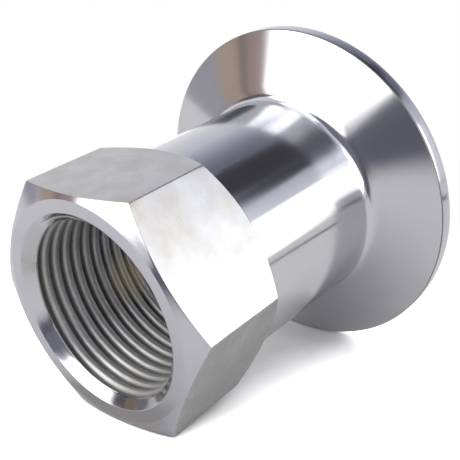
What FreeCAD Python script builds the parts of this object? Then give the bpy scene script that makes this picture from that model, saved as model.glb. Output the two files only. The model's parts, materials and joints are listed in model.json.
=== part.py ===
import FreeCAD
import Part
import math
import os

# Sanitary clamp threaded adapter, turned and milled in one piece from stainless hexagon bar.
# A hexagon with an internal pipe thread is at one end, a clamp flange at the other, and a
# plain neck joins them. The passage goes right through.
# Lengths are in millimetres, angles in degrees.
#
# The piece is built along X, with the threaded mouth at station 0 and the sealing face at
# station overall_length. At the end it is laid on the floor, as it comes to rest by itself:
# on the front edge of a hexagon flat and on the rim of the flange.

# Overall
overall_length = 45.5  # from the mouth face to the sealing face
neck_diameter = 31.0

# Hexagon
across_flats = 32.0
hexagon_length = 16.5  # from the mouth face to where the shoulder meets the neck
mouth_land_diameter = 30.7  # outer edge of the flat ring round the mouth
front_chamfer_angle = 25.0  # from a plane square to the axis
shoulder_angle = 42.0  # from a plane square to the axis

# Threaded mouth: the bore is the minor diameter of a 3/4 pipe thread
thread_minor_diameter = 24.12
thread_bore_depth = 21.0
countersink_diameter = 27.2
countersink_angle = 45.0  # from the axis
drill_point_angle = 59.0  # from the axis, where the thread bore meets the passage

# Clamp flange
flange_diameter = 50.5
rim_width = 2.4
flange_back_angle = 20.0  # from a plane square to the axis
neck_root_radius = 1.5
rim_edge_break = 0.3  # taken off each side of both edges of the rim

# Gasket groove in the sealing face
groove_mean_diameter = 43.6
groove_profile_radius = 2.35
groove_depth = 1.6

# Passage, which meets the sealing face with a clean square edge
passage_diameter = 22.1

# How far a cutter or a blank runs past the surface that it shapes
cutter_overrun = 1.0

AXIS = FreeCAD.Vector(1, 0, 0)
ORIGIN = FreeCAD.Vector(0, 0, 0)


def tangent(angle):
    return math.tan(math.radians(angle))


def turned(outline):
    """A solid turned about X from a closed outline of (station, radius, rounding) corners.

    A corner with a rounding of 0 stays sharp. Any other is replaced by the arc of that
    radius which is tangent to both of its sides.
    """
    corners = [FreeCAD.Vector(station, 0, radius) for station, radius, _ in outline]
    bends = []
    for index, corner in enumerate(corners):
        rounding = outline[index][2]
        if rounding == 0:
            bends.append([corner])
            continue
        back = (corners[index - 1] - corner).normalize()
        ahead = (corners[(index + 1) % len(corners)] - corner).normalize()
        half_angle = back.getAngle(ahead) / 2
        reach = rounding / math.tan(half_angle)
        inset = rounding / math.sin(half_angle) - rounding
        middle = corner + (back + ahead).normalize() * inset
        bends.append([corner + back * reach, middle, corner + ahead * reach])
    edges = []
    for index, bend in enumerate(bends):
        if len(bend) == 3:
            edges.append(Part.Arc(*bend).toShape())
        next_bend = bends[(index + 1) % len(bends)]
        edges.append(Part.makeLine(bend[-1], next_bend[0]))
    return Part.Face(Part.Wire(edges)).revolve(ORIGIN, AXIS, 360)


def hexagon():
    """Hexagon bar with a flat on top, cut by the cones that the lathe leaves at its ends."""
    corner_radius = across_flats / 2 / math.cos(math.radians(30))
    corners = []
    for side in range(6):
        turn = math.radians(30 + 60 * side)
        corners.append(
            FreeCAD.Vector(0, corner_radius * math.sin(turn), corner_radius * math.cos(turn))
        )
    bar = Part.Face(Part.makePolygon(corners + corners[:1])).extrude(AXIS * hexagon_length)

    outer_radius = corner_radius + cutter_overrun
    land_radius = mouth_land_diameter / 2
    neck_radius = neck_diameter / 2
    front_cone_end = (outer_radius - land_radius) * tangent(front_chamfer_angle)
    rear_cone_start = hexagon_length - (outer_radius - neck_radius) * tangent(shoulder_angle)
    cones = turned([
        (0, 0, 0),
        (0, land_radius, 0),
        (front_cone_end, outer_radius, 0),
        (rear_cone_start, outer_radius, 0),
        (hexagon_length, neck_radius, 0),
        (hexagon_length, 0, 0),
    ])
    return bar.common(cones)


def neck_and_flange():
    """Plain neck, rounded root, conical back and the rim with its broken edges."""
    neck_radius = neck_diameter / 2
    flange_radius = flange_diameter / 2
    rim_back = overall_length - rim_width
    cone_foot = rim_back - (flange_radius - neck_radius) * tangent(flange_back_angle)
    cone_top_radius = flange_radius - rim_edge_break
    cone_top = rim_back - rim_edge_break * tangent(flange_back_angle)
    return turned([
        (hexagon_length, 0, 0),
        (hexagon_length, neck_radius, 0),
        (cone_foot, neck_radius, neck_root_radius),
        (cone_top, cone_top_radius, 0),
        (rim_back + rim_edge_break, flange_radius, 0),
        (overall_length - rim_edge_break, flange_radius, 0),
        (overall_length, flange_radius - rim_edge_break, 0),
        (overall_length, 0, 0),
    ])


def through_passage():
    """Cutter for the whole inside: countersink, thread bore, drill point and passage."""
    countersink_radius = countersink_diameter / 2
    thread_radius = thread_minor_diameter / 2
    passage_radius = passage_diameter / 2
    countersink_depth = (countersink_radius - thread_radius) / tangent(countersink_angle)
    drill_point = (thread_radius - passage_radius) / tangent(drill_point_angle)
    mouth_flare = cutter_overrun * tangent(countersink_angle)
    return turned([
        (-cutter_overrun, 0, 0),
        (-cutter_overrun, countersink_radius + mouth_flare, 0),
        (countersink_depth, thread_radius, 0),
        (thread_bore_depth, thread_radius, 0),
        (thread_bore_depth + drill_point, passage_radius, 0),
        (overall_length + cutter_overrun, passage_radius, 0),
        (overall_length + cutter_overrun, 0, 0),
    ])


def gasket_groove():
    """Ring cutter with a round section, sunk groove_depth into the sealing face."""
    centre = AXIS * (overall_length + groove_profile_radius - groove_depth)
    return Part.makeTorus(groove_mean_diameter / 2, groove_profile_radius, centre, AXIS)


def lying_pose():
    """Angle of the axis to the floor in degrees, and the height of the mouth's centre.

    The floor is the line through the front edge of the lowest flat and the back edge of the
    rim, since the rim stands further from the axis than the flat does.
    """
    flat_radius = across_flats / 2
    land_radius = mouth_land_diameter / 2
    flat_front = max(0.0, flat_radius - land_radius) * tangent(front_chamfer_angle)
    rim_start = overall_length - rim_width + rim_edge_break
    tilt = math.atan2(flange_diameter / 2 - flat_radius, rim_start - flat_front)
    mouth_height = flat_radius * math.cos(tilt) - flat_front * math.sin(tilt)
    return math.degrees(tilt), mouth_height


def laid_down(solid):
    """The piece resting on the floor at Z = 0, with its footprint centred on the origin."""
    tilt, mouth_height = lying_pose()
    resting = solid.copy()
    resting.rotate(ORIGIN, FreeCAD.Vector(0, 1, 0), -tilt)
    box = resting.optimalBoundingBox(False, False)
    resting.translate(FreeCAD.Vector(-(box.XMin + box.XMax) / 2, 0, mouth_height))
    return resting


def adapter_body():
    """The whole adapter: the outside fused, then the passage and the groove cut into it."""
    outside = hexagon().fuse(neck_and_flange()).removeSplitter()
    body = outside.cut(through_passage()).cut(gasket_groove())
    return laid_down(body)


os.makedirs("parts", exist_ok=True)
adapter = adapter_body()
adapter.exportStep("parts/adapter_body.step")
box = adapter.optimalBoundingBox(False, False)
print(f"adapter_body: valid {adapter.isValid()}, solids {len(adapter.Solids)}")
print(f"volume {adapter.Volume / 1000:.2f} cm3, faces {len(adapter.Faces)}")
print(f"size {box.XLength:.2f} x {box.YLength:.2f} x {box.ZLength:.2f} mm, lowest {box.ZMin:.3f}")
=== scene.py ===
# %% [markdown]
# # A threaded clamp adapter in stainless steel
#
# The object is one piece of metal. One end is a hexagon with a pipe thread inside, the other
# end is a flange that a clamp closes on, and a plain neck joins them. It was turned on a lathe
# from hexagon bar, and that history is the plan of this lesson: everything except the six
# flats is a shape turned about one axis.
#
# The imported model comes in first. It says where the piece is, in metres, lying on the floor.

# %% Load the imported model
import json
import math

import bmesh
import bpy
import numpy as np
from mathutils import Matrix, Quaternion, Vector


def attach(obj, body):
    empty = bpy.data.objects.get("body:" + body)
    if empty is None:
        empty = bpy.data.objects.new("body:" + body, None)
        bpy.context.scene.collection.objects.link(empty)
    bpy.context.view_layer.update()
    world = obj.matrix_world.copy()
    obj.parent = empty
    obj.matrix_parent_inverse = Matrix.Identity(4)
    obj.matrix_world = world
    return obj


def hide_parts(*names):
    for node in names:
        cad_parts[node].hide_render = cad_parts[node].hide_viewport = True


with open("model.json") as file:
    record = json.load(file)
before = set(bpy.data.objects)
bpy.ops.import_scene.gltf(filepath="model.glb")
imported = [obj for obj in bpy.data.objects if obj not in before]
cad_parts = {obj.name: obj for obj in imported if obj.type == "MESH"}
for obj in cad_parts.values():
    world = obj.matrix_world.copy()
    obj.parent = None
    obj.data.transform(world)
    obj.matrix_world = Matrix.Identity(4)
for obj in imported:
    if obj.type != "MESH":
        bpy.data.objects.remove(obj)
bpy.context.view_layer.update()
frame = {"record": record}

# %% [markdown]
# ## The axis of the lathe
#
# The record lists the bores and faces that other parts fit on. The thread and the passage lie
# on the axis, so they give its direction and the centre of the mouth. A second direction, up
# from the axis and square to it, points at the middle of the top flat. The third points to
# the side. Any point of the piece is then a station along the axis, a radius and an angle.

# %% Where the axis is
MM = 0.001
COUNTERSINK_DEPTH = 1.54  # mm, along the axis
mounts = {mount["name"]: mount for mount in frame["record"]["mounts"]}
along = Vector(mounts["product_passage"]["axis"]).normalized()
up = Vector((-along.z, 0.0, along.x))
side = along.cross(up)
thread_wall = mounts["pipe_thread"]["dims"]["length_mm"]
mouth = Vector(mounts["pipe_thread"]["pos_m"]) - along * (
    (COUNTERSINK_DEPTH + thread_wall / 2) * MM
)
print(f"mouth centre {tuple(round(v / MM, 3) for v in mouth)} mm")


def place(station, radius, angle):
    """Point = mouth + station along the axis + radius times (up cos angle + side sin angle)."""
    out = np.cos(angle)[..., None] * np.array(up) + np.sin(angle)[..., None] * np.array(side)
    return (
        np.array(mouth)
        + MM * station[..., None] * np.array(along)
        + MM * radius[..., None] * out
    )


# %% [markdown]
# ## The columns of the mesh
#
# The whole skin is one grid, with rows along the outline and columns round the axis. A
# revolve would give even columns, but the hexagon has six corners, and real corners aren't
# razor sharp. So each corner gets five close columns for its small rounding, and the flats
# share the rest. The distance from the axis to the hexagon's side is the half width divided
# by the cosine of the angle from the flat's middle; at the corner it is the outer crossing
# with a small circle.

# %% Angles of the columns and the hexagon's side
HALF_WIDTH = 16.0  # mm, half of the 32 mm across flats
CORNER_ROUNDING = 0.25
COLUMNS_ON_A_CORNER = 4
COLUMNS_ON_A_FLAT = 44
SIDE_ANGLE, HALF_ANGLE = math.radians(60), math.radians(30)
ARC_REACH = 0.51  # of the rounding: sin 30 degrees, and a little for the columns at its ends
NUDGE = 1e-9  # radians, so that no rounding error moves a column at the middle of a flat


def hexagon_columns():
    """Angles over one full turn, and how far out the small circle of a corner has its centre.

    They start at the corner 30 degrees before the top flat's middle. The circle touches both
    flats, so its centre is (half width - rounding) / cos 30 degrees from the axis.
    """
    centre = (HALF_WIDTH - CORNER_ROUNDING) / math.cos(HALF_ANGLE)
    tangent_x = centre + CORNER_ROUNDING * math.cos(HALF_ANGLE)
    reach = math.atan2(CORNER_ROUNDING * math.sin(HALF_ANGLE), tangent_x)
    corner = np.linspace(-reach, reach, COLUMNS_ON_A_CORNER + 1)[:-1]
    flat = np.linspace(reach, SIDE_ANGLE - reach, COLUMNS_ON_A_FLAT + 1)[:-1]
    sector = np.concatenate([corner, flat])
    turns = HALF_ANGLE + SIDE_ANGLE * np.arange(-1, 5)
    angles = (turns[:, None] + sector[None, :]).ravel()
    return np.append(angles, angles[0] + 2 * math.pi), centre


angles, corner_centre = hexagon_columns()
from_corner = (angles + NUDGE) % SIDE_ANGLE - HALF_ANGLE
on_corner = np.abs(corner_centre * np.sin(from_corner)) < CORNER_ROUNDING * ARC_REACH
flat_side = HALF_WIDTH / np.cos(HALF_ANGLE - np.abs(from_corner))
under_root = np.clip(CORNER_ROUNDING**2 - (corner_centre * np.sin(from_corner)) ** 2, 0, None)
corner_side = corner_centre * np.cos(from_corner) + np.sqrt(under_root)
hexagon_side = np.where(on_corner, corner_side, flat_side)
print(f"{len(angles) - 1} columns, side from {hexagon_side.min():.2f} to {hexagon_side.max():.2f}")

# %% [markdown]
# ## The outline
#
# A turned part is drawn as half of its section: corners, and how much each is rounded. A
# revolve of straight lines would look like a drawing, because every real edge has a small
# break that catches a line of light. The outline below therefore gives each corner its own
# rounding, and works it out for all columns at once, since the hexagon makes the corner
# move from column to column.

# %% A rounded outline as rows
ARC_STEPS = 4


def outline_rows(corners):
    """Rows of stations and radii along corners of (station, radius, rounding, spans, finish).

    With a and b the directions of the two sides at a corner, and turn the angle between
    them, the arc starts rounding * tan(turn / 2) before the corner. Its point at angle t is
    start + rounding * (a sin t + m (1 - cos t)), where m is square to a, towards b.
    """
    points = np.array([
        [np.broadcast_to(value, angles.shape) for value in corner[:2]] for corner in corners
    ])
    sides = np.diff(points, axis=0)
    sides /= np.linalg.norm(sides, axis=1, keepdims=True)
    bends = []
    for index, corner in enumerate(corners):
        rounding = corner[2]
        if rounding == 0:
            bends.append(points[index][None])
            continue
        a, b = sides[index - 1], sides[index]
        cosine = np.sum(a * b, axis=0)
        turn = np.arccos(np.clip(cosine, -1, 1))
        m = b - cosine * a
        m /= np.linalg.norm(m, axis=0)
        start = points[index] - a * rounding * np.tan(turn / 2)
        t = np.linspace(0, 1, ARC_STEPS + 1)[:, None, None] * turn
        bends.append(start + rounding * (np.sin(t) * a + (1 - np.cos(t)) * m))
    rows, finishes = [], []
    for index, bend in enumerate(bends):
        rows.append(bend)
        finishes += [corners[index][4]] * len(bend)
        if index + 1 < len(bends):
            spans = corners[index][3]
            share = (np.arange(1, spans) / spans)[:, None, None]
            rows.append(bend[-1] + share * (bends[index + 1][0] - bend[-1]))
            finishes += [corners[index][4]] * (spans - 1)
    return np.concatenate(rows), finishes


def tangent(degrees):
    """Rise of a line at this angle for each unit along it."""
    return math.tan(math.radians(degrees))


# %% [markdown]
# ## The numbers of this piece
#
# Stations run from the mouth at 0 to the sealing face at 45.5 mm. Each side of the outline
# also names its finish, because the lathe and the mill leave different surfaces. The flats are
# milled and the thread is rough cut. The neck, the back of the flange, the countersink and the
# ring inside the gasket groove are polished. The rest is satin: the ring round the mouth, the
# chamfers, the rim, the outer ring of the sealing face, the groove and the passage. Only the
# narrow edge break behind the rim is dull, like the thread, and the thread's painted shade lies
# on it in full, so it shows as a thin dark line.

# %% The outline from the countersink round to the thread
MILLED, SATIN, POLISHED, CUT = range(4)
LAND, NECK, RIM = 15.35, 15.5, 25.22
PASSAGE, THREAD_CREST = 11.05, 12.06
LENGTH, HEXAGON_END = 45.5, 16.5
COUNTERSINK = 13.6
MOUTH_START = 0.3  # the thread's grid takes over here, just inside the countersink
THREAD_GRID_END = 19.6
BORE_DEPTH, RIM_WIDTH = 21.0, 2.4
CHAMFER_ANGLE, SHOULDER_ANGLE, FLANGE_ANGLE, DRILL_ANGLE = 25, 42, 20, 59  # degrees
RIM_BREAK_IN, RIM_BREAK_ALONG = 0.1, 0.18  # mm taken off the back edge of the rim
GROOVE_MIDDLE, GROOVE_ROUND = 21.8, 2.35  # mm, radii of the gasket groove and of its section
GROOVE_CENTRE_OUT = 0.75  # mm by which the centre of that section lies outside the face
GROOVE_ROWS, GROOVE_EDGE = 19, 0.06  # the edge's rounding is in mm

front_edge = (hexagon_side - LAND) * tangent(CHAMFER_ANGLE)
rear_edge = HEXAGON_END - (hexagon_side - NECK) * tangent(SHOULDER_ANGLE)
rim_back = LENGTH - RIM_WIDTH
cone_foot = rim_back - (RIM - NECK) * tangent(FLANGE_ANGLE)
bore_end = BORE_DEPTH + (THREAD_CREST - PASSAGE) / tangent(DRILL_ANGLE)
groove_turn = math.acos(GROOVE_CENTRE_OUT / GROOVE_ROUND)
groove = [
    (
        LENGTH + GROOVE_CENTRE_OUT - GROOVE_ROUND * math.cos(t),
        GROOVE_MIDDLE + GROOVE_ROUND * math.sin(t),
        0,
        1,
        SATIN,
    )
    for t in np.linspace(groove_turn, -groove_turn, GROOVE_ROWS)
]
groove[0] = groove[0][:2] + (GROOVE_EDGE, 1, SATIN)
groove[-1] = groove[-1][:2] + (GROOVE_EDGE, 4, POLISHED)

# Each corner: station, radius and rounding in mm, then the spans and the finish up to the next.
outline = [
    (MOUTH_START, COUNTERSINK - MOUTH_START, 0, 1, POLISHED),
    (0.0, COUNTERSINK, 0.2, 3, SATIN),
    (0.0, LAND, 0.1, 4, SATIN),
    (front_edge, hexagon_side, 0.1, 8, MILLED),
    (rear_edge, hexagon_side, 0.1, 4, SATIN),
    (HEXAGON_END, NECK, 0.15, 10, POLISHED),
    (cone_foot, NECK, 1.5, 10, POLISHED),
    # The edge break behind the rim is cut like the thread and carries its painted shade in full: a
    # painted dark line.
    (rim_back - RIM_BREAK_IN * tangent(FLANGE_ANGLE), RIM - RIM_BREAK_IN, 0, 1, CUT),
    (rim_back + RIM_BREAK_ALONG, RIM, 0, 3, SATIN),
    (LENGTH, RIM, 0.33, 2, SATIN),
    *groove,
    (LENGTH, PASSAGE, 0.08, 12, SATIN),
    (bore_end, PASSAGE, 0.1, 2, SATIN),
    (BORE_DEPTH, THREAD_CREST, 0.1, 3, CUT),
    (THREAD_GRID_END, THREAD_CREST, 0, 1, CUT),
]
outer, finishes = outline_rows(outline)
print(f"{len(outer)} rows along the outline")

# %% [markdown]
# ## The thread
#
# A pipe thread is a groove of a rounded 55 degree form, wound round the bore 14 times to the
# inch. A screw modifier would make the winding, but then the groove would have to be cut into
# the bore. Here the rows of the grid themselves follow the helix: each starts a little deeper
# after each column, and one turn on it is a whole pitch deeper, where it meets the row that
# started a pitch later. So the crests and roots stay clean lines. Before the mouth and
# behind the last turn the rows bunch up at the end of the region and are merged.
#
# Towards its end the tool drew back, so the groove gets shallower and fades. At the mouth the
# countersink cuts the crests away. Where its cone meets the groove the edge is broken a little:
# of the two radii the larger counts, but the change from one to the other is a smooth bend.

# %% Radius of the threaded bore
PITCH = 25.4 / 14
FLANK = math.radians(27.5)  # of each side of the groove, from square to the axis
CREST_ROUNDING, ROOT_ROUNDING = 0.64, 0.15  # the crests are worn rounder than the form says
LAST_FULL_TURN, RUN_OUT_END = 17.6, 18.8
HELIX_PHASE = -0.16  # share of a pitch by which the helix is turned
EDGE_BREAK = 0.08  # mm, how wide the bend between the countersink and the groove is
BEND_OPENS = 0.2  # mm along the axis in which that bend reaches its width
FROM_CREST = [0.0, 0.15, 0.29, 0.41, 0.5, 0.568, 0.67, 0.774, 0.85]  # mm, rows of half a pitch
THREAD_DEPTH = (CREST_ROUNDING + ROOT_ROUNDING) * (1 - math.sin(FLANK)) + (
    PITCH / 2 - (CREST_ROUNDING + ROOT_ROUNDING) * math.cos(FLANK)
) / math.tan(FLANK)


def groove_depth(share):
    """Depth below the crests at a share of the pitch from a crest, from 0 to 1.

    Near a crest or a root the depth follows a circle: rounding - sqrt(rounding^2 -
    distance^2). Between them the flank falls in a straight line, 1 / tan(flank) deep for
    each unit along the axis.
    """
    distance = np.abs((share + 0.5) % 1.0 - 0.5) * PITCH
    from_root = PITCH / 2 - distance
    crest_reach = CREST_ROUNDING * math.cos(FLANK)
    root_reach = ROOT_ROUNDING * math.cos(FLANK)
    on_crest = CREST_ROUNDING - np.sqrt(
        np.clip(CREST_ROUNDING**2 - np.minimum(distance, crest_reach) ** 2, 0, None)
    )
    on_root = THREAD_DEPTH - ROOT_ROUNDING + np.sqrt(
        np.clip(ROOT_ROUNDING**2 - np.minimum(from_root, root_reach) ** 2, 0, None)
    )
    flank = CREST_ROUNDING * (1 - math.sin(FLANK)) + (distance - crest_reach) / math.tan(FLANK)
    below_crest = np.where(from_root < root_reach, on_root, flank)
    return np.where(distance < crest_reach, on_crest, below_crest)


def threaded_rows():
    """Rows that follow the helix: station = PITCH * (turn number + share + angle / full turn).

    The larger of two radii with a smooth bend is half of their sum plus the length of a
    right triangle's long side, whose short sides are their difference and the bend's width.
    """
    half = np.array(FROM_CREST) / PITCH
    shares = np.concatenate([half, [0.5], 1 - half[:0:-1]])
    turns = np.arange(-2, math.ceil(THREAD_GRID_END / PITCH) + 1)
    starts = (turns[:, None] + shares[None, :]).ravel()
    wound = (angles - angles[0]) / (2 * math.pi)
    stations = PITCH * (starts[:, None] + wound[None, :] + HELIX_PHASE)
    stations = np.clip(stations, MOUTH_START, THREAD_GRID_END)
    depth = groove_depth(stations / PITCH - wound[None, :] - HELIX_PHASE)
    drawn_back = THREAD_DEPTH * np.clip(
        (stations - LAST_FULL_TURN) / (RUN_OUT_END - LAST_FULL_TURN), 0, 1
    )
    radii = THREAD_CREST + np.clip(depth - drawn_back, 0, None)
    cone = COUNTERSINK - stations
    bend = EDGE_BREAK * np.clip((stations - MOUTH_START) / BEND_OPENS, 0, 1)
    radii = (radii + cone + np.hypot(radii - cone, bend)) / 2
    keep = np.ptp(stations, axis=1) > 0
    rows = np.stack([stations, radii], axis=1)[keep]
    return rows[::-1]


thread = threaded_rows()
print(f"{len(thread)} rows along the thread, groove {THREAD_DEPTH:.3f} mm deep")

# %% [markdown]
# ## One closed skin
#
# The outline's rows and the thread's rows are joined into one grid. Its last row lies on its
# first, and its last column on its first, so merging the doubles closes it like a ring. The
# faces have to point outwards: the volume inside, added up over the triangles, shows it by
# its sign. Each corner also remembers how deep it lies in the groove, for the painted shade
# in the groove later on.

# %% Build the mesh
OVER_RADIUS = 1.7  # how fast the tool marks' coordinate grows with radius, against station
AROUND = 20.0  # mm round the axis in a turn of one radian
ON_CONE = 0.03  # mm, how near the countersink's cone still counts as on it
GROOVE_SHADE_STARTS = 0.25  # mm beyond that in which the painted shade of the groove comes in
SAME_POINT, NO_EDGE = 0.0005, 0.0002  # mm, below which points are merged and edges dissolved
SHARP_ANGLE = 38  # degrees between two faces from which their edge is shaded sharp


def grid_faces(rows, columns):
    """Corner numbers of each square of the grid, and the row and column of each corner."""
    row, column = np.meshgrid(np.arange(rows - 1), np.arange(columns - 1), indexing="ij")
    row, column = row.ravel(), column.ravel()
    face_rows = np.stack([row, row + 1, row + 1, row], axis=1)
    face_columns = np.stack([column, column, column + 1, column + 1], axis=1)
    return face_rows * columns + face_columns, face_rows, face_columns


def build_adapter():
    """A ring-shaped skin from the grid of stations and radii, with finishes and a UV map.

    The UV map is in millimetres. U runs across the tool marks, as station plus OVER_RADIUS
    times radius, and V runs along them, as the angle times AROUND.
    """
    rows = np.concatenate([outer, thread, outer[:1]])
    row_finish = np.array(finishes + [CUT] * (len(thread) + 1))
    station, radius = rows[:, 0], rows[:, 1]
    points = place(station, radius, np.broadcast_to(angles, station.shape))
    faces, face_rows, face_columns = grid_faces(*station.shape)
    mesh = bpy.data.meshes.new("machined_adapter")
    mesh.from_pydata(points.reshape(-1, 3).tolist(), [], faces.tolist())
    face_finish = row_finish[face_rows[:, 0]]
    off_cone = np.abs(radius + station - COUNTERSINK)[face_rows, face_columns]
    on_cone = off_cone.max(axis=1) < ON_CONE
    face_finish = np.where(on_cone & (face_finish == CUT), POLISHED, face_finish)
    mesh.polygons.foreach_set("material_index", face_finish.astype(np.int32))
    turned_radius = np.where(
        (face_finish == MILLED)[:, None], HALF_WIDTH, radius[face_rows, face_columns]
    )
    across_marks = station[face_rows, face_columns] + OVER_RADIUS * turned_radius
    along_marks = AROUND * angles[face_columns]
    layer = mesh.uv_layers.new(name="tool_marks")
    layer.uv.foreach_set(
        "vector", np.stack([across_marks, along_marks], axis=-1).astype(np.float32).ravel()
    )
    # How deep each corner lies in the groove, for the painted shade on the cut finish.
    below_cone = np.clip((radius + station - COUNTERSINK - ON_CONE) / GROOVE_SHADE_STARTS, 0, 1)
    hollow = below_cone * np.clip((radius - THREAD_CREST) / THREAD_DEPTH, 0, 1)
    in_groove = mesh.attributes.new("hollow", "FLOAT", "POINT")
    in_groove.data.foreach_set("value", hollow.astype(np.float32).ravel())
    skin = bmesh.new()
    skin.from_mesh(mesh)
    bmesh.ops.remove_doubles(skin, verts=skin.verts, dist=SAME_POINT * MM)
    bmesh.ops.dissolve_degenerate(skin, edges=skin.edges, dist=NO_EDGE * MM)
    if skin.calc_volume(signed=True) < 0:
        bmesh.ops.reverse_faces(skin, faces=skin.faces)
    open_edges = sum(1 for edge in skin.edges if not edge.is_manifold)
    volume = skin.calc_volume(signed=True) / MM**3
    skin.to_mesh(mesh)
    skin.free()
    print(f"volume {volume:.0f} mm3, open edges {open_edges}")
    return mesh


mesh = build_adapter()
mesh.shade_smooth()
mesh.set_sharp_from_angle(angle=math.radians(SHARP_ANGLE))
adapter = bpy.data.objects.new("machined_adapter", mesh)
bpy.context.scene.collection.objects.link(adapter)
weighted = adapter.modifiers.new("even_shading", "WEIGHTED_NORMAL")
weighted.keep_sharp = True
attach(adapter, "root")
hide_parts("adapter_body")
triangles = sum(len(face.vertices) - 2 for face in mesh.polygons)
print(f"{len(mesh.polygons)} faces, {triangles} triangles")

# %% [markdown]
# ## Stainless steel, four ways
#
# All of the piece is the same metal, so all four materials share one recipe and one colour
# family. Steel is a metal: its colour is the tint of its reflections, and almost everything
# that the eye reads in it is the room. What differs is what each tool left.
#
# A cutting edge leaves grooves that run round the axis. They are a few hundredths of a
# millimetre apart, too fine to show at this size, so the recipe does two things. The shader's
# anisotropy spreads a highlight across the grooves, as the real ones do together. A few
# coarser grooves, drawn 0.2 to 0.5 mm apart, show as faint rings. Thin films can then lie on
# the metal, each with its own colour and its own place: some are dirt, and some are painted
# shade.

# %% Helpers for colours and nodes


def linear(code):
    """An sRGB colour such as C6C7CB as linear red, green, blue and alpha."""
    parts = np.array([int(code[i : i + 2], 16) for i in (0, 2, 4)]) / 255
    low = parts / 12.92
    high = ((parts + 0.055) / 1.055) ** 2.4
    return (*np.where(parts <= 0.04045, low, high).tolist(), 1.0)


def node(tree, kind, inputs=None, **settings):
    """Adds one node. An input is a number or colour, or another node's output to link."""
    made = tree.nodes.new(kind)
    for name, value in settings.items():
        setattr(made, name, value)
    for name, value in (inputs or {}).items():
        if isinstance(value, bpy.types.NodeSocket):
            tree.links.new(value, made.inputs[name])
        else:
            made.inputs[name].default_value = value
    return made


def remap(tree, value, low, high, to_low=0.0, to_high=1.0, smooth=False):
    """Maps low to to_low and high to to_high, in a straight line or in a smooth curve."""
    made = node(
        tree,
        "ShaderNodeMapRange",
        {"Value": value, "From Min": low, "From Max": high, "To Min": to_low, "To Max": to_high},
        interpolation_type="SMOOTHSTEP" if smooth else "LINEAR",
    )
    return made.outputs["Result"]


def calculate(tree, operation, *values):
    """The result of one calculation on numbers or other nodes' outputs."""
    made = node(tree, "ShaderNodeMath", dict(enumerate(values)), operation=operation)
    return made.outputs["Value"]


def blend(tree, factor, a, b, data_type="RGBA"):
    """A mix of a and b, which is all a at factor 0 and all b at factor 1."""
    made = node(tree, "ShaderNodeMix", {"Factor": factor, "A": a, "B": b}, data_type=data_type)
    return made.outputs["Result"]


def empty_material(name):
    """A material that has no nodes yet, and its node tree."""
    material = bpy.data.materials.new(name)
    material.use_nodes = True
    material.node_tree.nodes.clear()
    return material, material.node_tree


# %% One recipe for steel
BLOTCH_SHARE = 0.45  # how much of the gloss follows the blotches, and the rest the rings
GLOSS_RANGE, STAIN_RANGE = (0.3, 0.7), (0.35, 0.7)  # of the noise, whose middle is at 0.5


def steel(
    name, clean, worn, roughness, anisotropy, rings_per_mm, ring_depth, blotch_mm, films=()
):
    """Stainless steel with rings across U, and slow blotches that change colour and gloss.

    clean and worn are the two colours; roughness is (least, most); ring_depth is in mm. films
    lie on the metal: each is a colour, and a function that adds the nodes for where it lies.
    """
    material, tree = empty_material(name)
    uv = node(tree, "ShaderNodeUVMap", uv_map="tool_marks")
    split = node(tree, "ShaderNodeSeparateXYZ", {"Vector": uv.outputs["UV"]})
    rings = node(
        tree,
        "ShaderNodeTexNoise",
        {"W": split.outputs["X"], "Scale": rings_per_mm, "Detail": 3.0, "Roughness": 0.65},
        noise_dimensions="1D",
    )
    place_in_object = node(tree, "ShaderNodeTexCoord")
    blotches = node(
        tree,
        "ShaderNodeTexNoise",
        {
            "Vector": place_in_object.outputs["Object"],
            "Scale": 1 / (blotch_mm * MM),
            "Detail": 4.0,
            "Roughness": 0.6,
        },
    )
    both = blend(
        tree, BLOTCH_SHARE, rings.outputs["Fac"], blotches.outputs["Fac"], data_type="FLOAT"
    )
    gloss = remap(tree, both, *GLOSS_RANGE, *roughness)
    stain = remap(tree, blotches.outputs["Fac"], *STAIN_RANGE)
    tint = blend(tree, stain, linear(clean), linear(worn))
    for colour, cover in films:
        tint = blend(tree, cover(tree), tint, linear(colour))
    relief = node(
        tree,
        "ShaderNodeBump",
        {"Height": rings.outputs["Fac"], "Strength": 1.0, "Distance": ring_depth * MM},
    )
    grain = node(tree, "ShaderNodeTangent", direction_type="UV_MAP", uv_map="tool_marks")
    surface = node(
        tree,
        "ShaderNodeBsdfPrincipled",
        {
            "Base Color": tint,
            "Metallic": 1.0,
            "Roughness": gloss,
            "Anisotropic": anisotropy,
            "Normal": relief.outputs["Normal"],
            "Tangent": grain.outputs["Tangent"],
        },
    )
    node(tree, "ShaderNodeOutputMaterial", {"Surface": surface.outputs["BSDF"]})
    return material


# %% [markdown]
# ## Dirt and painted shade
#
# The thread's hollows are painted darker than its crests, more so towards the root of the
# groove: that is painted shade. Nothing stays as clean as it left the machine: old cutting oil
# has pooled deep in the bore, where it looks olive. On the flat that faces the camera a patchy
# warm film is painted shade, darker towards the flat's upper corner. In the countersink a
# patchy brownish film lies on its left, and a grey film of painted shade at its lowest place.
# Each is a thin film: it tints the reflections and hides nothing.

# %% Where dirt and painted shade lie
# Marks: place in metres, reach in mm, and strength. A patchy film lies at two places on the
# flat, where it is painted shade, and at one in the countersink. Painted shade lies at the
# countersink's lowest place, and oil has pooled deep in the bore.
PATCH_AND_SHADE_MARKS = (
    ((-0.0215, -0.0118, 0.0285), 6.0, 0.7),
    ((-0.0255, -0.0093, 0.0315), 4.0, 1.0),
    ((-0.0235, 0.0122, 0.0201), 3.5, 0.8),
)
LOW_SHADE_MARKS = (((-0.0200, -0.0044, 0.0039), 6.5, 1.2),)
POOLED = (((-0.0066, 0.0112, 0.0141), 5.0, 1.3),)
PATCHES_PER_MM = 0.7
PATCH_RANGE = (0.25, 0.75)  # of the noise, from no film to a whole one
HOLLOW_RANGE = (0.15, 0.85)  # share of the groove's depth over which the painted shade darkens


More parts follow.
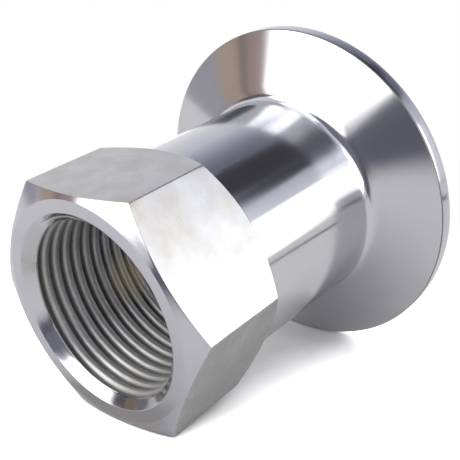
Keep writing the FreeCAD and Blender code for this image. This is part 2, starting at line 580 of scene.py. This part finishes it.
def near_marks(tree, marks):
    """Sum of the marks' strengths, each falling smoothly from the mark to nothing at its reach."""
    spot = node(tree, "ShaderNodeTexCoord")
    total = 0.0
    for mark_at, reach, strength in marks:
        away = node(
            tree,
            "ShaderNodeVectorMath",
            {0: spot.outputs["Object"], 1: mark_at},
            operation="DISTANCE",
        )
        near = remap(tree, away.outputs["Value"], reach * MM, 0.0, 0.0, strength, smooth=True)
        total = calculate(tree, "ADD", near, total)
    return total


def patchy_film_and_shade(tree):
    """A patchy film near the marks; on the flat that faces the camera it is painted shade."""
    spot = node(tree, "ShaderNodeTexCoord")
    patches = node(
        tree,
        "ShaderNodeTexNoise",
        {
            "Vector": spot.outputs["Object"],
            "Scale": PATCHES_PER_MM / MM,
            "Detail": 5.0,
            "Roughness": 0.7,
        },
    )
    patchy = remap(tree, patches.outputs["Fac"], *PATCH_RANGE)
    return calculate(tree, "MULTIPLY", near_marks(tree, PATCH_AND_SHADE_MARKS), patchy)


def painted_shade_low_in_countersink(tree):
    """Painted shade: a grey film that darkens the lowest place of the countersink."""
    return near_marks(tree, LOW_SHADE_MARKS)


def pooled_oil(tree):
    """A smooth olive film of old cutting oil, deep in the bore."""
    return near_marks(tree, POOLED)


def painted_shade_in_hollows(tree):
    """Painted shade: darker towards the root of the groove."""
    hollow = node(tree, "ShaderNodeAttribute", attribute_name="hollow")
    return remap(tree, hollow.outputs["Fac"], *HOLLOW_RANGE)


# %% The four finishes
# Milled flats: an end mill leaves dull marks across the axis. On the flat that faces the
# camera a patchy warm film is painted shade, darker towards its upper corner.
milled_stainless = steel(
    "milled_stainless",
    "BABABC",
    "ACAAA7",
    roughness=(0.24, 0.34),
    anisotropy=0.3,
    rings_per_mm=5.0,
    ring_depth=0.003,
    blotch_mm=4.0,
    films=[("A0988A", patchy_film_and_shade)],
)
# Satin turned mouth, chamfers, rim, groove and passage: a fine feed, bluish in daylight.
satin_turned_stainless = steel(
    "satin_turned_stainless",
    "C3C2CA",
    "BDBCC4",
    roughness=(0.11, 0.18),
    anisotropy=0.5,
    rings_per_mm=6.0,
    ring_depth=0.003,
    blotch_mm=9.0,
)
# Polished neck, back of the flange and countersink: the clearest mirror of the four, with rings.
polished_turned_stainless = steel(
    "polished_turned_stainless",
    "C8C8CC",
    "C2C2C6",
    roughness=(0.1, 0.16),
    anisotropy=0.55,
    rings_per_mm=4.0,
    ring_depth=0.0015,
    blotch_mm=12.0,
    # On the countersink: a patchy brownish film on its left, and painted shade at its lowest
    # place.
    films=[("A0988A", patchy_film_and_shade), ("8D8E90", painted_shade_low_in_countersink)],
)
# Cut thread: the tool tore the metal a little, so it is rougher, and painted shade darkens its
# hollows.
cut_thread_stainless = steel(
    "cut_thread_stainless",
    "C0C0C2",
    "B6B5B1",
    roughness=(0.46, 0.58),
    anisotropy=0.2,
    rings_per_mm=9.0,
    ring_depth=0.003,
    blotch_mm=3.0,
    films=[("767472", painted_shade_in_hollows), ("CEC8B0", pooled_oil)],
)
for finish in (
    milled_stainless,
    satin_turned_stainless,
    polished_turned_stainless,
    cut_thread_stainless,
):
    mesh.materials.append(finish)
print("finishes:", [finish.name for finish in mesh.materials])

# %% [markdown]
# ## The camera
#
# The picture is taken from the mouth's side, about 15 degrees above the table, with the mouth
# to the lower left. Seven edges of the piece, measured in the photograph, gave this place and
# lens: a 66 mm lens at 119 mm from the middle of the piece, so the mouth looms large. The
# picture leans by a third of a degree.

# %% Camera
camera = bpy.data.objects.new("camera", bpy.data.cameras.new("camera"))
bpy.context.scene.collection.objects.link(camera)
camera.data.sensor_width = 36.0
camera.data.lens = 65.93
camera.data.clip_start = 0.01
camera_at = Vector((-0.086845, -0.076045, 0.052564))
look_at = Vector((0.000668, -0.001975, 0.022017))
lean = Quaternion((0, 0, 1), math.radians(0.366))
turn = (camera_at - look_at).to_track_quat("Z", "Y") @ lean
camera.matrix_world = Matrix.Translation(camera_at) @ turn.to_matrix().to_4x4()
bpy.context.scene.camera = camera
print("camera's right:", turn @ Vector((1, 0, 0)))

# %% [markdown]
# ## The floor
#
# The piece lies on a sheet of white paper. The paper has to take its soft shadow and still
# turn into pure white a hand's breadth away, as in a catalogue picture. A brighter lamp would
# spoil the metal, so for the camera alone a second layer of white is added to the paper. Its
# strength follows how much open sky each spot of the paper has within 60 mm: almost none in
# the shadow under the piece, all of it a little further out. Beyond the piece the sheet passes
# over to an even white. Reflections still see the plain paper.

# %% Floor
FADE_START, FADE_END = 0.05, 0.1  # metres from the middle of the piece
SKY_WITHIN = 0.06  # metres
SKY_RANGE = (0.2, 0.32)  # share of open sky, from where the added white is least to most
ADDED_WHITE = (0.05, 1.6)
SHEET_HALF = 3.0  # metres


def paper_floor():
    """A sheet of matt white paper, which passes over to an even white for the camera."""
    material, tree = empty_material("white_paper")
    spot = node(tree, "ShaderNodeTexCoord")
    away = node(
        tree, "ShaderNodeVectorMath", {"Vector": spot.outputs["Object"]}, operation="LENGTH"
    )
    fade = remap(tree, away.outputs["Value"], FADE_START, FADE_END, smooth=True)
    path = node(tree, "ShaderNodeLightPath")
    seen = calculate(tree, "MULTIPLY", fade, path.outputs["Is Camera Ray"])
    paper = node(tree, "ShaderNodeBsdfDiffuse", {"Color": linear("F2F2F2")})
    openness = node(
        tree, "ShaderNodeAmbientOcclusion", {"Distance": SKY_WITHIN}, samples=16
    )
    opened = remap(tree, openness.outputs["AO"], *SKY_RANGE, *ADDED_WHITE)
    exposed = calculate(tree, "MULTIPLY", opened, path.outputs["Is Camera Ray"])
    bright_paper = node(tree, "ShaderNodeBsdfDiffuse", {"Color": exposed})
    near = node(tree, "ShaderNodeAddShader", {0: paper.outputs[0], 1: bright_paper.outputs[0]})
    white = node(tree, "ShaderNodeEmission", {"Color": (1, 1, 1, 1), "Strength": 1.0})
    surface = node(
        tree,
        "ShaderNodeMixShader",
        {0: seen, 1: near.outputs[0], 2: white.outputs[0]},
    )
    node(tree, "ShaderNodeOutputMaterial", {"Surface": surface.outputs[0]})
    sheet = bpy.data.meshes.new("floor")
    corners = [
        (x * SHEET_HALF, y * SHEET_HALF, 0) for x, y in ((-1, -1), (1, -1), (1, 1), (-1, 1))
    ]
    sheet.from_pydata(corners, [], [(0, 1, 2, 3)])
    sheet.materials.append(material)
    floor = bpy.data.objects.new("floor", sheet)
    bpy.context.scene.collection.objects.link(floor)


paper_floor()
print(f"white paper, {2 * SHEET_HALF:.0f} m wide")

# %% [markdown]
# ## Boxes of light and cards
#
# Metal shows its surroundings, so lighting it means building them. A directed lamp would give
# a hot spot. Product photographers use large soft boxes and plain cards instead, and the
# picture says where they stood: each patch on the flange's cone is the mirror image of one
# direction. Turn is the compass direction from +Y towards +X, and rise is the height above
# the horizon, both in degrees.
#
# Three soft boxes light the paper and the shadows. What the metal mirrors hangs or lies in
# front of them as cards that only reflections see: two bright windows, whose edges are sharp
# on the cone, a dark ceiling that makes the black band on the neck, the dark half of the room
# behind the camera, two wooden boards with a seam, and the table's edge. Close to the flange
# the neck mirrors the cone, which mirrors the room again, so the cards have to be right twice.

# %% Lamps and cards
MIDDLE = Vector((0, 0, 0.025))  # metres, about the middle of the piece
FLOOR_CARD_STEPS = (24, 2)  # squares along the turn and outwards
CARD_LIFT = 0.0004  # metres above the paper, so that the two don't touch


def direction(turn, rise):
    """Unit vector at a compass turn and a rise above the horizon, both in degrees."""
    t, r = math.radians(turn), math.radians(rise)
    return Vector((math.sin(t) * math.cos(r), math.cos(t) * math.cos(r), math.sin(r)))


def facing(turn, rise, distance):
    """Placement at a distance from the middle, in a direction, with Z pointing on outwards."""
    toward = direction(turn, rise)
    return (
        Matrix.Translation(MIDDLE + toward * distance)
        @ toward.to_track_quat("Z", "Y").to_matrix().to_4x4()
    )


def soft_box(name, turn, rise, wide, high, distance, radiance):
    """A rectangular lamp facing the piece; wide and high are in degrees as the piece sees it."""
    data = bpy.data.lights.new(name, "AREA")
    data.shape = "RECTANGLE"
    data.size = 2 * distance * tangent(wide / 2)
    data.size_y = 2 * distance * tangent(high / 2)
    data.energy = radiance * math.pi * data.size * data.size_y
    lamp = bpy.data.objects.new(name, data)
    bpy.context.scene.collection.objects.link(lamp)
    lamp.matrix_world = facing(turn, rise, distance)
    return lamp


def hang_card(name, points, faces, uv, colour, soft, strength):
    """A plain card seen only in reflections, which fades over the outer share soft."""
    material, tree = empty_material(name)
    map_on_card = node(tree, "ShaderNodeUVMap", uv_map="card")
    centred = node(
        tree,
        "ShaderNodeVectorMath",
        {0: map_on_card.outputs["UV"], 1: (0.5, 0.5, 0.0)},
        operation="SUBTRACT",
    )
    size = node(
        tree, "ShaderNodeVectorMath", {0: centred.outputs["Vector"]}, operation="ABSOLUTE"
    )
    split = node(tree, "ShaderNodeSeparateXYZ", {"Vector": size.outputs["Vector"]})
    shares = [
        remap(tree, split.outputs[axis], 0.5, 0.5 - 0.5 * share, smooth=True)
        for axis, share in zip(("X", "Y"), soft)
    ]
    cover = calculate(tree, "MULTIPLY", *shares)
    clear = node(tree, "ShaderNodeBsdfTransparent")
    tone = node(tree, "ShaderNodeEmission", {"Color": linear(colour), "Strength": strength})
    surface = node(
        tree,
        "ShaderNodeMixShader",
        {0: cover, 1: clear.outputs[0], 2: tone.outputs[0]},
    )
    node(tree, "ShaderNodeOutputMaterial", {"Surface": surface.outputs[0]})
    sheet = bpy.data.meshes.new(name)
    sheet.from_pydata(points, [], faces)
    layer = sheet.uv_layers.new(name="card")
    layer.uv.foreach_set("vector", np.asarray(uv, dtype=np.float32).ravel())
    sheet.materials.append(material)
    made = bpy.data.objects.new(name, sheet)
    bpy.context.scene.collection.objects.link(made)
    made.visible_camera = False
    made.visible_diffuse = False
    made.visible_shadow = False


def card(name, turn, rise, wide, high, distance, colour, soft, strength=1.0):
    """A card that faces the piece; wide and high are in degrees as the piece sees it."""
    half_x, half_y = distance * tangent(wide / 2), distance * tangent(high / 2)
    spot = facing(turn, rise, distance)
    corners = np.array([(-1, -1), (1, -1), (1, 1), (-1, 1)])
    points = [spot @ Vector((x * half_x, y * half_y, 0)) for x, y in corners]
    hang_card(name, points, [(0, 1, 2, 3)], 0.5 + 0.5 * corners, colour, soft, strength)


def floor_card(name, turns, distances, colour, soft):
    """A card lying on the paper between two turns and two distances from the middle."""
    along_turn, outwards = FLOOR_CARD_STEPS
    turn_at, away_at = np.meshgrid(
        np.radians(np.linspace(*turns, along_turn + 1)),
        np.linspace(*distances, outwards + 1),
        indexing="ij",
    )
    height = np.full(turn_at.shape, CARD_LIFT)
    points = np.stack([np.sin(turn_at) * away_at, np.cos(turn_at) * away_at, height], axis=-1)
    faces, face_rows, face_columns = grid_faces(*turn_at.shape)
    uv = np.stack([face_rows / along_turn, face_columns / outwards], axis=-1)
    hang_card(name, points.reshape(-1, 3).tolist(), faces.tolist(), uv, colour, soft, 1.0)


# Boxes: turn, rise, width and height in degrees, distance in metres, radiance.
left_box = soft_box("left_soft_box", -68, 30, 46.8, 66, 1.0, 0.35)
right_box = soft_box("right_soft_box", 163, 17, 73, 30, 1.0, 0.5)
soft_box("top_soft_box", -20, 84, 36, 36, 1.0, 1.4)
for box in (left_box, right_box):
    box.visible_glossy = False
# Cards: turn, rise, width and height in degrees, distance in metres, colour, how much of each
# half fades sideways and upwards, and strength.
card("left_window", -72, 30, 54, 66, 0.95, "FFFFFF", (0.05, 0.05), 3.3)
card("left_window_top", -71, 66.5, 15, 9, 0.9, "FFFFFF", (0.4, 0.3), 3.3)
card("right_window", 168, 16, 74, 33, 0.95, "FFFFFF", (0.08, 0.1), 3.3)
card("right_window_glow", 173, 36, 60, 30, 0.9, "F6F8FF", (0.25, 1.0), 2.3)
card("bright_wall", 44, -1, 30, 24, 1.1, "FFFFFF", (1.0, 1.0), 1.5)
card("dark_ceiling", 112, 54.5, 24, 25, 0.8, "45434B", (0.25, 0.35))
card("dark_ceiling_corner", 124.5, 43.5, 13, 11, 0.78, "45434B", (0.3, 0.35))
card("ceiling_beam", 111, 39.5, 18, 8, 0.79, "82858F", (0.4, 0.4))
card("dark_room_behind_camera", -126, 24, 54, 80, 0.7, "868690", (0.25, 0.08))
card("board_near", -42.5, 2, 9, 26, 0.5, "B89F99", (0.05, 0.1))
card("board_far", -30.5, 2, 13, 26, 0.5, "C8B3A1", (0.1, 0.1))
card("board_seam", -36.8, 2, 5, 26, 0.49, "8E807C", (0.8, 0.1))
card("grey_wall", -17, 2, 17, 30, 0.33, "B6B4BC", (0.2, 0.1))
card("shade_over_boards", -30, 20.5, 44, 31, 0.6, "6C6C74", (0.4, 0.3))
card("dark_horizon_front", -109.5, 1, 37, 15, 0.9, "70707C", (0.2, 0.6))
# Cards on the paper: the two turns in degrees, the two distances in metres, colour, fading.
floor_card("dark_table_front", (-166, -89.3), (0.048, 1.2), "6E6E7A", (0.06, 0.09))
floor_card("dark_edge_right", (116, 172), (0.2, 0.26), "3A3A3E", (0.3, 0.4))
floor_card("dark_edge_near", (176, 215), (0.13, 0.22), "7C7C80", (0.4, 0.6))
# contact_shade is painted shade: a grey sheet under the mouth, where the paper lies in the piece's
# shadow.
floor_card("contact_shade", (-118, -45), (0.012, 0.027), "B0AEA8", (0.4, 0.5))
floor_card("dim_paper_left", (-15, 60), (0.045, 0.13), "E4E4EA", (0.3, 0.4))

# %% [markdown]
# The room itself is a plain white studio. In reflections it is darker and bluish round the
# dark part of the ceiling, and the camera sees it pure white. It lights everything evenly at
# four fifths of white, and the boxes do the rest.

# %% The room
DARKEST = (95, 58)  # turn and rise of the dark part of the ceiling, in degrees
ROOM_REACH = 60  # degrees from there to where the room is as bright as it gets
ROOM_LIGHT = (0.8, 0.8, 0.8, 1.0)


def white_room():
    """A plain white studio, which differs by what looks at it: camera, mirror or lit surface."""
    world = bpy.data.worlds.new("white_studio")
    bpy.context.scene.world = world
    world.use_nodes = True
    tree = world.node_tree
    tree.nodes.clear()
    where = node(tree, "ShaderNodeTexCoord")
    toward_dark = node(
        tree,
        "ShaderNodeVectorMath",
        {0: where.outputs["Generated"], 1: direction(*DARKEST)},
        operation="DOT_PRODUCT",
    )
    angle = calculate(tree, "ARCCOSINE", toward_dark.outputs["Value"])
    share = remap(tree, angle, 0.0, math.radians(ROOM_REACH))
    walls = node(tree, "ShaderNodeValToRGB", {"Fac": share})
    tones = [
        (4, "74767F"),
        (10, "828592"),
        (16, "959AA8"),
        (22, "ADB2C0"),
        (28, "C8CCD8"),
        (34, "E2E5EE"),
        (41, "EDEEF4"),
        (48, "F0F0F7"),
        (56, "FAFAFD"),
    ]
    for _ in tones[2:]:
        walls.color_ramp.elements.new(0.5)
    for stop, (degrees, colour) in zip(walls.color_ramp.elements, tones):
        stop.position = degrees / ROOM_REACH
        stop.color = linear(colour)
    path = node(tree, "ShaderNodeLightPath")
    lit = blend(tree, path.outputs["Is Glossy Ray"], ROOM_LIGHT, walls.outputs["Color"])
    seen = blend(tree, path.outputs["Is Camera Ray"], lit, (1.0, 1.0, 1.0, 1.0))
    glow = node(tree, "ShaderNodeBackground", {"Color": seen, "Strength": 1.0})
    node(tree, "ShaderNodeOutputWorld", {"Surface": glow.outputs[0]})


white_room()
bpy.context.scene.view_settings.view_transform = "Standard"
print("room:", bpy.context.scene.world.name)
